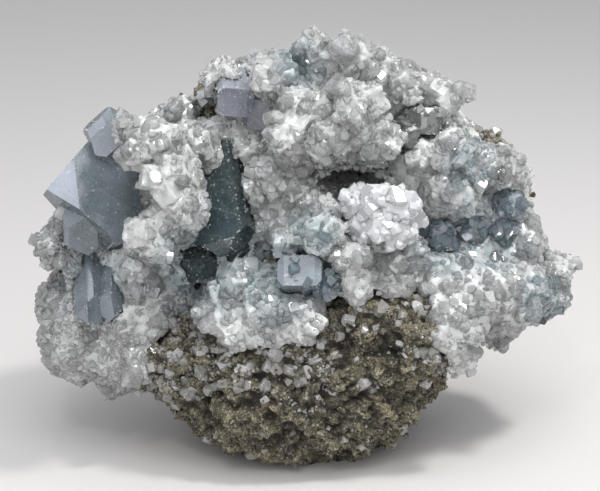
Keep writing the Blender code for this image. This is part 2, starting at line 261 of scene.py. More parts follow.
class CelestiteSizes(bpy.types.PropertyGroup):
    """Sizes and counts of what is grown on the solids."""

    block: length_property("Block", "Width of the druse's largest crystals", 4.6 * MM)
    druse_crystal: length_property("Druse crystal", "Width of a crystal of the druse", 2.3 * MM)
    sugar_crystal: length_property("Sugar crystal", "Width of a crystal of fine crust", 1.0 * MM)
    rock_grain: length_property("Rock grain", "Width of a loose grain on the rock", 0.9 * MM)
    rock_relief: length_property("Rock relief", "Depth of the rock's pits and ledges", 3.4 * MM)
    crust_relief: length_property("Crust relief", "Height of the crust's small lumps", 0.9 * MM)
    edge_wear: length_property("Edge wear", "Bevel on a large crystal's edges", 0.12 * MM)
    block_count: count_property("Block count", "Largest crystals of the druse", 330)
    druse_count: count_property("Druse count", "Crystals in the druse", 4200)
    dust_count: count_property("Dust count", "Tiny crystals all over the druse", 9000)
    sugar_count: count_property("Sugar count", "Crystals in fine crust", 9500)
    rock_crystal_count: count_property("Crystals on the rock", "Crystals on bare rock", 6500)
    grain_count: count_property("Grain count", "Grains on the rock", 6000)
    lump_count: count_property("Lump count", "Clear lumps set in the rock", 340)
    speck_count: count_property("Speck count", "Tiny crystals on the large ones", 300)
    spine_count: count_property("Spine count", "Blades of the white spray", 150)
    hollow_count: count_property("Hollow count", "Crystals in the hollow", 700)


class CelestiteColours(bpy.types.PropertyGroup):
    """Colours of the crystals, the rock and the floor."""

    druse: colour_property("Druse", "Small pale crystals", (0.79, 0.805, 0.795))
    # Tint: bluer and much darker than the druse, laid on in the recess patches; its darkness is painted
    # shade of the recesses.
    tint: colour_property("Tint", "Bluer small crystals in the recesses", (0.36, 0.47, 0.51))
    frost: colour_property("Frost", "Frosted and broken crystal", (0.90, 0.91, 0.92))
    blue: colour_property("Blue", "Large blue-green crystals", (0.075, 0.125, 0.14))
    pale_blue: colour_property("Pale blue", "Large paler crystals", (0.13, 0.18, 0.20))
    teal: colour_property("Teal", "Clear teal crystals", (0.03, 0.058, 0.065))
    slate: colour_property("Slate", "Grey crystals", (0.17, 0.18, 0.175))
    violet: colour_property("Violet", "Violet-grey crystals", (0.20, 0.215, 0.28))
    # Lilac: the paler colour painted on the faces of large crystals that look one way, a painted
    # reflection; also the colour of their veils and of some coats' frosted crystals.
    lilac: colour_property("Lilac", "The pale sheen of a large crystal", (0.50, 0.55, 0.63))
    white: colour_property("White", "White crystals", (0.86, 0.88, 0.90))
    rock: colour_property("Rock", "Host rock", (0.19, 0.155, 0.095))
    rock_clear: colour_property("Clear lumps", "Clear lumps set in the rock", (0.46, 0.45, 0.40))
    rock_olive: colour_property("Olive rock", "Greener patches of the rock", (0.20, 0.185, 0.115))
    # Near-black: the rock's darker patches, and painted shade in its carved hollows and small dents.
    rock_dark_and_pit_shade: colour_property("Dark rock", "Rock in its pits", (0.022, 0.019, 0.014))
    rock_pale: colour_property("Pale rock", "Pale specks of the rock", (0.52, 0.48, 0.37))
    floor: colour_property("Floor", "Floor and backdrop", (0.60, 0.585, 0.575))


class Socket:
    """A node's output that Python's operators work on, each adding a Math node."""

    def __init__(self, shader, output):
        self.shader = shader
        self.output = output

    def _math(self, operation, first, second):
        return self.shader.node("ShaderNodeMath", {"operation": operation}, {0: first, 1: second})

    def __add__(self, other):
        return self._math("ADD", self, other)

    def __radd__(self, other):
        return self._math("ADD", other, self)

    def __sub__(self, other):
        return self._math("SUBTRACT", self, other)

    def __rsub__(self, other):
        return self._math("SUBTRACT", other, self)

    def __mul__(self, other):
        return self._math("MULTIPLY", self, other)

    def __rmul__(self, other):
        return self._math("MULTIPLY", other, self)


class Shader:
    """Builds one material's nodes."""

    def __init__(self, name):
        self.material = bpy.data.materials.new(name)
        self.material.use_nodes = True
        self.tree = self.material.node_tree
        self.surface = self.tree.nodes["Principled BSDF"]
        self.surface.inputs["IOR"].default_value = CELESTITE_IOR

    def put(self, socket, value):
        """Gives a socket a link or a value."""
        if isinstance(value, Socket):
            self.tree.links.new(value.output, socket)
        elif socket.type == "RGBA" and len(value) == 3:
            socket.default_value = (*value, 1)
        else:
            socket.default_value = value

    def node(self, kind, settings=None, inputs=None, output=0):
        made = self.tree.nodes.new(kind)
        for name, value in (settings or {}).items():
            if name == "stops":
                for element, (place, level) in zip(made.color_ramp.elements, value):
                    element.position = place
                    element.color = (level, level, level, 1)
            else:
                setattr(made, name, value)
        for name, value in (inputs or {}).items():
            self.put(made.inputs[name], value)
        return Socket(self, made.outputs[output])

    def place(self):
        return self.node("ShaderNodeTexCoord", output="Object")

    def grain(self, scale, detail=4.0, roughness=0.6):
        values = {"Vector": self.place(), "Scale": scale, "Detail": detail, "Roughness": roughness}
        return self.node("ShaderNodeTexNoise", None, values, "Fac")

    def bands(self, scale, distortion):
        settings = {"wave_type": "BANDS", "bands_direction": "DIAGONAL"}
        values = {"Vector": self.place(), "Scale": scale, "Distortion": distortion, "Detail": 3.0}
        return self.node("ShaderNodeTexWave", settings, values, "Fac")

    def ramp(self, value, low, high):
        stops = [(low, 0), (high, 1)]
        return self.node("ShaderNodeValToRGB", {"stops": stops}, {"Fac": value})

    def mix(self, share, first, second):
        made = self.tree.nodes.new("ShaderNodeMix")
        made.data_type = "RGBA"
        self.put(made.inputs[0], share)
        self.put(made.inputs[6], first)
        self.put(made.inputs[7], second)
        return Socket(self, made.outputs[2])

    def bump(self, height, strength, distance):
        values = {"Height": height, "Strength": strength, "Distance": distance}
        return self.node("ShaderNodeBump", None, values)

    def kept(self, name):
        """A value kept in the mesh. Tone is a crystal's own shade where it is drawn at random, painted
        shade between the crust's lumps and in the rock's hollows, and a painted reflection on the faces of
        the large crystals that look one way. The other value says how far a place lies in the bluer recess
        patches, which carry painted shade.
        """
        return self.node("ShaderNodeAttribute", {"attribute_name": name}, None, "Fac")

    def tone(self):
        return self.kept("tone")

    def set(self, **values):
        for name, value in values.items():
            self.put(self.surface.inputs[name.replace("_", " ")], value)
        return self

    def veil(self, share, **values):
        """Lays a second, misty surface over the first by a share that may vary."""
        inputs = {name.replace("_", " "): value for name, value in values.items()}
        inputs["IOR"] = CELESTITE_IOR
        misty = self.node("ShaderNodeBsdfPrincipled", None, inputs)
        clear = Socket(self, self.surface.outputs[0])
        both = self.node("ShaderNodeMixShader", None, {0: share, 1: clear, 2: misty})
        self.put(self.tree.nodes["Material Output"].inputs["Surface"], both)

    def absorb(self, colour, density):
        """Light lost inside a clear crystal, by constant values."""
        volume = self.node("ShaderNodeVolumeAbsorption", None, {"Color": colour, "Density": density})
        self.put(self.tree.nodes["Material Output"].inputs["Volume"], volume)


def shade_of(colour, factor):
    return tuple(min(1.0, channel * factor) for channel in colour)


def druse_material(name, colour, frost, clear):
    """Small crystals: misty, each a little lighter or darker than the next, with frosted specks."""
    shader = Shader(name)
    clouds = shader.ramp(shader.grain(170.0, 5.0), 0.40, 0.64)
    specks = shader.ramp(shader.grain(1300.0, 3.0), 0.60, 0.70)
    body = shader.mix(clouds, shade_of(colour, 0.72), colour)
    tint = tuple(bpy.context.scene.celestite_colours.tint)
    # In the recess patches the crystals take the tint: a bluer colour, with painted shade of the recesses.
    tinted = shader.mix(shader.kept("blueness") * 0.85, body, tint)
    toned = shader.mix(shader.tone(), tinted, frost)
    shader.set(Base_Color=shader.mix(specks * 0.45, toned, frost))
    shader.set(Roughness=shader.tone() * 0.2 + specks * 0.25 + 0.05, Transmission_Weight=clear)
    shader.set(Subsurface_Weight=0.35, Subsurface_Scale=0.0015, Subsurface_Radius=(1, 1, 1))
    shader.set(Normal=shader.bump(shader.grain(1100.0), 0.25, 0.0002))
    return shader.material


def large_crystal_material(name, colour, painted_sheen, density):
    """A large crystal: clear, tinted by its depth, with misty veils and thin growth lines.

    The faces that look its way have more tone, are mistier, and take the paler colour: a painted
    reflection.
    """
    shader = Shader(name)
    veils = shader.ramp(shader.grain(80.0, 7.0, 0.62), 0.42, 0.66)
    lines = shader.ramp(shader.bands(48.0, 9.0), 0.985, 1.0)
    dust = shader.ramp(shader.grain(1500.0, 3.0), 0.63, 0.70)
    # Painted reflection: by its tone a face goes from the crystal's colour to the paler one.
    tint = shader.mix(shader.tone(), colour, painted_sheen)
    relief = shader.bump(shader.grain(420.0, 6.0), 0.08, 0.0003)
    shader.set(Base_Color=shader.mix(0.6, tint, (1, 1, 1)), Transmission_Weight=0.95)
    shader.set(Roughness=veils * 0.06 + 0.01, Normal=relief)
    pale = shader.mix(lines * 0.12 + dust * 0.6, tint, (0.75, 0.78, 0.81))
    cloud = shader.mix(veils * 0.3, pale, shade_of(painted_sheen, 0.8))
    share = veils * 0.2 + dust * 0.25 + shader.tone() * 0.2 + 0.4
    shader.veil(share, Base_Color=cloud, Roughness=veils * 0.2 + 0.05, Normal=relief)
    shader.absorb(colour, density)
    return shader.material


def rock_material(colours):
    """Brown-grey host rock: olive and grey patches, pale specks and fine grain, with painted shade,
    near-black, in its carved hollows and in specks that mostly sit in the bump's small dents.
    """
    shader = Shader("host_rock")
    patches = shader.ramp(shader.grain(60.0, 4.0), 0.40, 0.62)
    broad = shader.ramp(shader.grain(230.0, 6.0, 0.7), 0.40, 0.60)
    fine = shader.ramp(shader.grain(1500.0, 5.0, 0.7), 0.50, 0.60)
    # Painted shade: near-black specks on the bump's noise, so they mostly sit in its small dents.
    pits = shader.ramp(shader.grain(900.0, 5.0, 0.7), 0.40, 0.47)
    dark = tuple(colours.rock_dark_and_pit_shade)
    warm = shader.mix(patches, tuple(colours.rock), tuple(colours.rock_olive))
    body = shader.mix(broad, shade_of(dark, 3), warm)
    speckled = shader.mix(fine * 0.75, body, tuple(colours.rock_pale))
    pitted = shader.mix(pits, dark, speckled)
    # Painted shade: a low tone darkens the rock to near-black in its carved hollows; on the loose grains
    # the tone is random.
    shader.set(Base_Color=shader.mix(shader.tone(), dark, pitted))
    shader.set(Roughness=shader.grain(300.0) * 0.2 + 0.72, IOR=ROCK_IOR)
    shader.set(Normal=shader.bump(shader.grain(900.0, 8.0, 0.75), 0.8, 0.0008))
    return shader.material


def object_of(bm, name, material):
    mesh = bpy.data.meshes.new(name)
    bm.to_mesh(mesh)
    bm.free()
    return object_from(mesh, name, material)


def object_from(mesh, name, material):
    mesh.materials.append(material)
    obj = bpy.data.objects.new(name, mesh)
    bpy.context.scene.collection.objects.link(obj)
    return obj


def give_tones(mesh, tones, domain="POINT", name="tone"):
    attribute = mesh.attributes.new(name, "FLOAT", domain)
    attribute.data.foreach_set("value", np.array(tones, dtype=np.float32))


def merged(*nodes):
    """The shape of some CAD nodes as one bmesh of its own, with their loose triangles joined."""
    bm = bmesh.new()
    for node in nodes:
        bm.from_mesh(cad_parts[node].data)
    bmesh.ops.remove_doubles(bm, verts=bm.verts[:], dist=MERGE_DISTANCE)
    return bm


def refined(bm, longest):
    """Splits the edges over this length, for relief to be carved in."""
    bmesh.ops.triangulate(bm, faces=bm.faces[:])
    for _ in range(REFINING_ROUNDS):
        long_edges = [edge for edge in bm.edges if edge.calc_length() > longest]
        bmesh.ops.subdivide_edges(bm, edges=long_edges, cuts=1)
        bmesh.ops.triangulate(bm, faces=[face for face in bm.faces if len(face.verts) > 3])
    bm.normal_update()
    return bm


def smoothed(bm, factor, rounds):
    for _ in range(rounds):
        bmesh.ops.smooth_vert(
            bm, verts=[vert for vert in bm.verts if vert.co.z > SMOOTH_ABOVE], factor=factor,
            use_axis_x=True, use_axis_y=True, use_axis_z=True,
        )
    bm.normal_update()


def surface_tree(*nodes):
    bm = merged(*nodes)
    tree = BVHTree.FromBMesh(bm)
    bm.free()
    return tree


def dress(obj, slot, *nodes):
    """Rides on the one body, and stands for the nodes that it replaces, which it hides. The slot is not
    used.
    """
    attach(obj, "root")
    if nodes:
        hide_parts(*nodes)


def crystal_template(chance, flat=0.0, bevel=0.0, kinds=3):
    """One chisel-tipped crystal a unit wide, its foot at the origin, as two arrays.

    flat is how much of its point a flat basal face takes off. Kinds is how many kinds of
    face it has: 1 is a roof alone, 2 has ends too, and 3 has its corners cut as well.
    """
    bm = bmesh.new()
    size = Matrix.Diagonal((1, chance.uniform(0.65, 0.95), 1.5, 1))
    bmesh.ops.create_cube(bm, size=1, matrix=Matrix.Translation((0, 0, 0.35)) @ size)
    top = Vector((0, 0, 1))
    cuts = [(top - Vector((0, 0, flat)), Vector((0, 0, 1)))]
    for side in (-1, 1):
        roof = math.radians(chance.uniform(34, 54))
        end = Vector((chance.uniform(-0.2, 0.2), side * 0.75, chance.uniform(0.5, 0.8)))
        end_place = top + Vector((0, side * chance.uniform(0.12, 0.26), 0))
        corner = Vector((side, chance.uniform(0.5, 1.1), chance.uniform(0, 0.35)))
        faces = [
            (top, Vector((side * math.sin(roof), 0, math.cos(roof)))),
            (end_place, end),
            (Vector((side * 0.5, 0.1, 0.4)), corner),
        ]
        cuts += faces[:kinds]
    for point, normal in cuts:
        geometry = bm.verts[:] + bm.edges[:] + bm.faces[:]
        bmesh.ops.bisect_plane(
            bm, geom=geometry, dist=1e-6, plane_co=point, plane_no=normal, clear_outer=True
        )
        bmesh.ops.holes_fill(bm, edges=[edge for edge in bm.edges if edge.is_boundary])
    if bevel:
        above = [edge for edge in bm.edges if max(vert.co.z for vert in edge.verts) > 0]
        bmesh.ops.bevel(
            bm, geom=above, offset=bevel, segments=1, profile=0.5, affect="EDGES", material=-1
        )
    return arrays_of(bm)


def grain_template(chance, fineness=1):
    """One angular grain of rock, a unit wide."""
    bm = bmesh.new()
    bmesh.ops.create_icosphere(bm, subdivisions=fineness, radius=0.5)
    for vert in bm.verts:
        vert.co *= chance.uniform(0.65, 1.2)
    return arrays_of(bm)


def arrays_of(bm):
    bmesh.ops.triangulate(bm, faces=bm.faces[:])
    corners = np.array([vert.co[:] for vert in bm.verts])
    triangles = np.array([[vert.index for vert in face.verts] for face in bm.faces])
    bm.free()
    return corners, triangles


def joined_copies(name, templates, seats, material):
    """One mesh of many small things. A seat is place, direction, size, turn and tone."""
    corners, triangles, tones, blues = [], [], [], []
    start = 0
    for index, (place, direction, size, turn, tone) in enumerate(seats):
        shape, faces = templates[index % len(templates)]
        lean = Vector((0, 0, 1)).rotation_difference(direction).to_matrix()
        turned = np.array(lean @ Matrix.Rotation(turn, 3, "Z"))
        corners.append(shape @ (turned.T * size) + np.array(place))
        triangles.append(faces + start)
        tones.append(np.full(len(shape), tone))
        blues.append(np.full(len(shape), in_patches(place, BLUE_AND_SHADE_PATCHES)))
        start += len(shape)
    mesh = bpy.data.meshes.new(name)
    mesh.from_pydata(np.concatenate(corners), [], np.concatenate(triangles).tolist())
    give_tones(mesh, np.concatenate(tones))
    give_tones(mesh, np.concatenate(blues), name="blueness")
    mesh.update()
    return object_from(mesh, name, material)


def scattered(obj, count, chance, accept):
    """Places spread evenly over a piece's surface, each with the way it faces."""
    mesh = obj.data
    mesh.calc_loop_triangles()
    triangles = mesh.loop_triangles
    areas = np.cumsum([triangle.area for triangle in triangles])
    found = []
    for _ in range(count * TRIES):
        if len(found) == count:
            break
        chosen = int(np.searchsorted(areas, chance.random() * areas[-1]))
        triangle = triangles[min(chosen, len(triangles) - 1)]
        first, second = sorted((chance.random(), chance.random()))
        a, b, c = (mesh.vertices[index].co for index in triangle.vertices)
        place = a * first + b * (second - first) + c * (1 - second)
        if accept(place, triangle.normal):
            found.append((place, triangle.normal.copy()))
    return found


def in_sugar(place):
    """True in the patches of fine crust."""
    at = place / MM
    return any((at - middle).length < radius for middle, radius in SUGAR_PATCHES)


def inside_box(place, size):
    low, high = CAD_BOX
    return all(low[i] + size < place[i] < high[i] - size for i in range(3))


def spread_way(normal, chance, amount):
    jitter = Vector((chance.uniform(-1, 1), chance.uniform(-1, 1), chance.uniform(-1, 1)))
    return (normal + jitter * amount).normalized()


def camera_place():
    back = Vector((0, -math.cos(CAMERA_TILT), math.sin(CAMERA_TILT)))
    return CAMERA_TARGET + back * CAMERA_DISTANCE


def front_view(place):
    """Millimetres to the right of the camera's target and above it, as the camera sees a place."""
    offset = place - camera_place()
    ahead = Vector((0, math.cos(CAMERA_TILT), -math.sin(CAMERA_TILT)))
    above = Vector((0, math.sin(CAMERA_TILT), math.cos(CAMERA_TILT)))
    scale = CAMERA_DISTANCE / offset.dot(ahead) / MM
    return Vector((offset.x * scale, offset.dot(above) * scale))


def in_rock_druse(place, normal):
    """From 0 to 1: how fully druse covers the bare rock here."""
    return 0 if normal.y > 0.3 else in_patches(place, ROCK_DRUSE_PATCHES)


def in_patches(place, patches):
    """1 inside the patches of the front view, and down to 0 round them."""
    seen = front_view(place)
    shares = [1.6 - (seen - Vector(patch[:2])).length / patch[2] * 1.2 for patch in patches]
    return max(0, min(1, max(shares)))


def patchiness(place, size):
    """From about -0.5 to 0.5, changing over this many millimetres."""
    return noise.noise(place / (size * MM))


class CELESTITE_OT_rock(bpy.types.Operator):
    """Carve the host rock, scatter its loose grains and dot it with small crystals"""

    bl_idname = "celestite.rock"
    bl_label = "Host rock"

    def execute(self, context):
        sizes = context.scene.celestite_sizes
        colours = context.scene.celestite_colours
        material = rock_material(colours)
        rock = self.carved(sizes.rock_relief, material)
        dress(rock, "host_rock", "matrix")

        chance = random.Random(3)
        crust = surface_tree("druse_crust")

        def bare(place, normal):
            hit = crust.ray_cast(place + normal * 0.1 * MM, normal, CRUST_ABOVE)[0]
            return hit is None and place.z > GRAINS_ABOVE

        templates = [grain_template(chance) for _ in range(8)]
        seats = []
        for place, normal in scattered(rock, sizes.grain_count, chance, bare):
            size = sizes.rock_grain * (0.35 + 2.0 * chance.random() ** 4)
            if inside_box(place, size * 0.5):
                tone = 0.35 + 0.65 * chance.random()
                way = spread_way(normal, chance, 0.8)
                seats.append((place, way, size, chance.uniform(0, FULL_TURN), tone))
        dress(joined_copies("rock_grains", templates, seats, material), "host_rock")

        def dotted(place, normal):
            if not bare(place, normal):
                return False
            edge = math.exp(-crust.find_nearest(place)[3] / RAGGED_EDGE)
            ragged = in_rock_druse(place, normal) * (0.9 + 1.6 * patchiness(place, 5))
            return chance.random() < 0.9 * edge + ragged + 0.02

        frost = tuple(colours.frost)
        clear = druse_material("rock_druse", shade_of(colours.rock_clear, 1.3), frost, 0.6)
        templates = [crystal_template(chance, chance.choice((0, 0.1)), kinds=2) for _ in range(6)]
        seats = []
        for place, normal in scattered(rock, sizes.rock_crystal_count, chance, dotted):
            size = sizes.druse_crystal * (0.25 + 1.1 * chance.random() ** 4)
            foot = place - normal * size * SINK["rock_crystal"]
            if inside_box(place, size):
                way = spread_way(normal, chance, 0.5)
                tone = 0.9 * chance.random() ** 1.5
                seats.append((foot, way, size, chance.uniform(0, FULL_TURN), tone))
        dress(joined_copies("rock_crystals", templates, seats, clear), "druse")

        templates = [grain_template(chance, 2) for _ in range(6)]
        seats = []
        for place, normal in scattered(rock, sizes.lump_count, chance, dotted):
            size = sizes.druse_crystal * (0.8 + 1.2 * chance.random() ** 2)
            if inside_box(place, size * 0.5):
                way = spread_way(normal, chance, 0.3)
                turn = chance.uniform(0, FULL_TURN)
                foot = place - normal * size * SINK["lump"]
                seats.append((foot, way, size, turn, 0.5 * chance.random()))
        grey = druse_material("rock_lumps", tuple(colours.rock_clear), frost, 0.75)
        dress(joined_copies("rock_lumps", templates, seats, grey), "druse")
        return {"FINISHED"}

    def carved(self, relief, material):
        bm = refined(merged("matrix"), ROCK_EDGE)
        smoothed(bm, 0.5, 2)
        tones = []
        for vert in bm.verts:
            depth = self.depth(vert.co / MM)
            # Painted shade: the deeper a place lies in the carved relief, the lower its tone and the
            # darker its colour.
            tones.append(min(1, max(0, 0.75 + depth * 1.3)))
            if vert.co.z > CARVE_ABOVE:
                vert.co += vert.normal * (depth * relief)
                vert.co.z = max(vert.co.z, LOWEST_CARVED)
        rock = object_of(bm, "rock", material)
        give_tones(rock.data, tones)
        return rock

    def depth(self, at):
        """How far the surface stands out here, as a share of the relief."""
        broad = noise.noise(at / 11.0)
        crumbly = noise.turbulence(at / 3.5, 4, True)
        fragment = noise.noise(noise.voronoi(at / 4.5)[1][0] * 5.7)
        small_fragment = noise.noise(noise.voronoi(at / 2.2)[1][0] * 5.7)
        level = at.z / 5.5 + 1.6 * noise.noise(at / 14.0)
        ledge = (level - math.floor(level)) ** 3
        rough = 0.4 * broad + 0.5 * (0.4 - crumbly) + 0.5 * ledge
        return rough + 0.9 * fragment + 0.45 * small_fragment - 0.25


class CELESTITE_OT_druse(bpy.types.Operator):
    """Grow the druse: its base, its crystals and the fine sugar"""

    bl_idname = "celestite.druse"
    bl_label = "Druse"

    def execute(self, context):
        self.sizes = context.scene.celestite_sizes
        colours = context.scene.celestite_colours
        colour, frost = tuple(colours.druse), tuple(colours.frost)
        # The base is a darker copy of the druse's colour: painted shade in the gaps between its crystals.
        under = druse_material("druse_base", shade_of(colour, 0.8), shade_of(colour, 1.2), 0.3)
        clear = druse_material("druse_clear", shade_of(colour, 1.25), frost, 0.85)
        milky = druse_material("druse_milky", colour, frost, 0.6)
        base = self.base(under)
        dress(base, "druse", "druse_crust")
        self.rock = surface_tree("matrix")
        self.large = surface_tree(*LARGE_GROUPS)

        chance = random.Random(5)
        plain = [crystal_template(chance, chance.choice((0, 0, 0.12))) for _ in range(9)]
        worn = [crystal_template(chance, chance.choice((0, 0.1, 0.2)), 0.035) for _ in range(9)]
        tiny_chance = random.Random(6)
        dusty = [crystal_template(tiny_chance, kinds=1) for _ in range(6)]
        sugary = [crystal_template(tiny_chance, kinds=2) for _ in range(6)]
        self.grow("druse_blocks", base, worn, clear, chance, self.frontal, self.block, 0.30)
        self.grow("druse_crystals", base, plain, milky, chance, self.coarse, self.medium, 0.45)
        self.grow("druse_dust", base, dusty, milky, chance, self.outside, self.dust, 0.9)
        self.grow("sugar_crystals", base, sugary, milky, chance, self.fine, self.sugar, 0.8)
        return {"FINISHED"}

    def base(self, material):
        """The crust itself, with small rounded lumps, paler on their tops and with painted shade between
        them.
        """
        relief = self.sizes.crust_relief
        bm = refined(merged("druse_crust"), CRUST_EDGE)
        smoothed(bm, 0.5, 1)
        tones = []
        for vert in bm.verts:
            distances = noise.voronoi(vert.co / (2.6 * MM))[0]
            lump = 0.55 - distances[0]
            crumb = noise.noise(vert.co / (0.9 * MM))
            vert.co += vert.normal * (relief * (lump + 0.3 * crumb - 0.1))
            # Painted shade: the tone follows a lump's height, so the low ground between lumps is darker
            # and their tops are paler.
            tones.append(min(1, max(0, 0.35 + 0.9 * lump)))
        low, high = CAD_BOX
        for vert in bm.verts:
            vert.co = Vector([min(high[i], max(low[i], vert.co[i])) for i in range(3)])
        # The crust's base takes the tint in the recess patches too: a bluer colour, with painted shade of
        # the recesses.
        blues = [in_patches(vert.co, BLUE_AND_SHADE_PATCHES) for vert in bm.verts]
        base = object_of(bm, "druse_base", material)
        give_tones(base.data, tones)
        give_tones(base.data, blues, name="blueness")
        return base

    def outside(self, place, normal):
        return self.rock.ray_cast(place, normal, ROCK_ABOVE)[0] is None

    def coarse(self, place, normal):
        if in_sugar(place) and patchiness(place, 8) < -0.05:
            return False
        return self.outside(place, normal)

    def frontal(self, place, normal):
        return normal.y < -0.35 and self.coarse(place, normal)

    def fine(self, place, normal):
        return self.outside(place, normal) and in_sugar(place)

    def block(self, place, chance):
        return self.sizes.block * chance.uniform(0.65, 1.2)

    def medium(self, place, chance):
        """Wider crystals in some patches, none in others, where the lumps stay smooth."""
        patch = patchiness(place, 13)
        if patch < -0.3 and chance.random() < 0.6:
            return 0
        return self.sizes.druse_crystal * (0.5 + 0.5 * chance.random() + max(0, patch) * 1.2)

    def dust(self, place, chance):
        if patchiness(place + Vector((0.05, 0, 0)), 7) < -0.05:
            return 0
        return self.sizes.sugar_crystal * (0.45 + 0.6 * chance.random() ** 2)

    def sugar(self, place, chance):
        return self.sizes.sugar_crystal * (0.6 + 0.9 * chance.random() ** 2)

    def grow(self, name, base, templates, material, chance, accept, width, spread):
        """Crystals on the crust, which stand less proud next to a large crystal."""
        count = {
            "druse_blocks": self.sizes.block_count,
            "druse_crystals": self.sizes.druse_count,
            "druse_dust": self.sizes.dust_count,
            "sugar_crystals": self.sizes.sugar_count,
        }[name]
        seats = []
        for place, normal in scattered(base, count, chance, accept):
            size = width(place, chance)
            room = self.large.find_nearest(place, LARGE_NEARBY)[3]
            if room is not None and size:
                seam = self.sizes.sugar_crystal * chance.uniform(0.8, 1.5)
                size = min(size, max(seam, room * 0.6))
            if not size:
                continue
            direction = spread_way(normal, chance, spread)
            foot = place - direction * size * SINK["druse"]
            if inside_box(foot + direction * size, size * 0.6):
                tone = 1 if chance.random() < FROSTED_SHARE else 0.75 * chance.random() ** 2.5
                seats.append((foot, direction, size, chance.uniform(0, FULL_TURN), tone))
        dress(joined_copies(name, templates, seats, material), "druse")


class CELESTITE_OT_hollow(bpy.types.Operator):
    """Line the hollow under the brow with small crystals"""

    bl_idname = "celestite.hollow"
    bl_label = "Hollow"

    def execute(self, context):
        sizes = context.scene.celestite_sizes
        colours = context.scene.celestite_colours
        # The hollow's lining and crystals take the druse's colour and frost, much darkened: painted shade
        # of the hollow.
        colour = shade_of(colours.druse, 0.7)
        material = druse_material("hollow_druse", colour, shade_of(colours.frost, 0.5), 0.5)
        lining = object_of(merged("hollow_crust"), "hollow_lining", material)
        dress(lining, "druse", "hollow_crust")
        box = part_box("hollow_crust")
        middle = (Vector(box[0]) + Vector(box[1])) / 2

        def inside_or_rim(place, normal):
            inward = normal.dot(middle - place) > 0 and place.y > HOLLOW_RIM * MM
            return inward or normal.y < -0.2

        chance = random.Random(9)
        templates = [crystal_template(chance, chance.choice((0, 0.1))) for _ in range(4)]
        seats = []
        for place, normal in scattered(lining, sizes.hollow_count, chance, inside_or_rim):
            size = sizes.druse_crystal * chance.uniform(0.3, 0.9)
            direction = spread_way(normal, chance, 0.5)
            turn = chance.uniform(0, FULL_TURN)
            seats.append((place, direction, size, turn, chance.random() ** 2))
        dress(joined_copies("hollow_crystals", templates, seats, material), "druse")
        return {"FINISHED"}


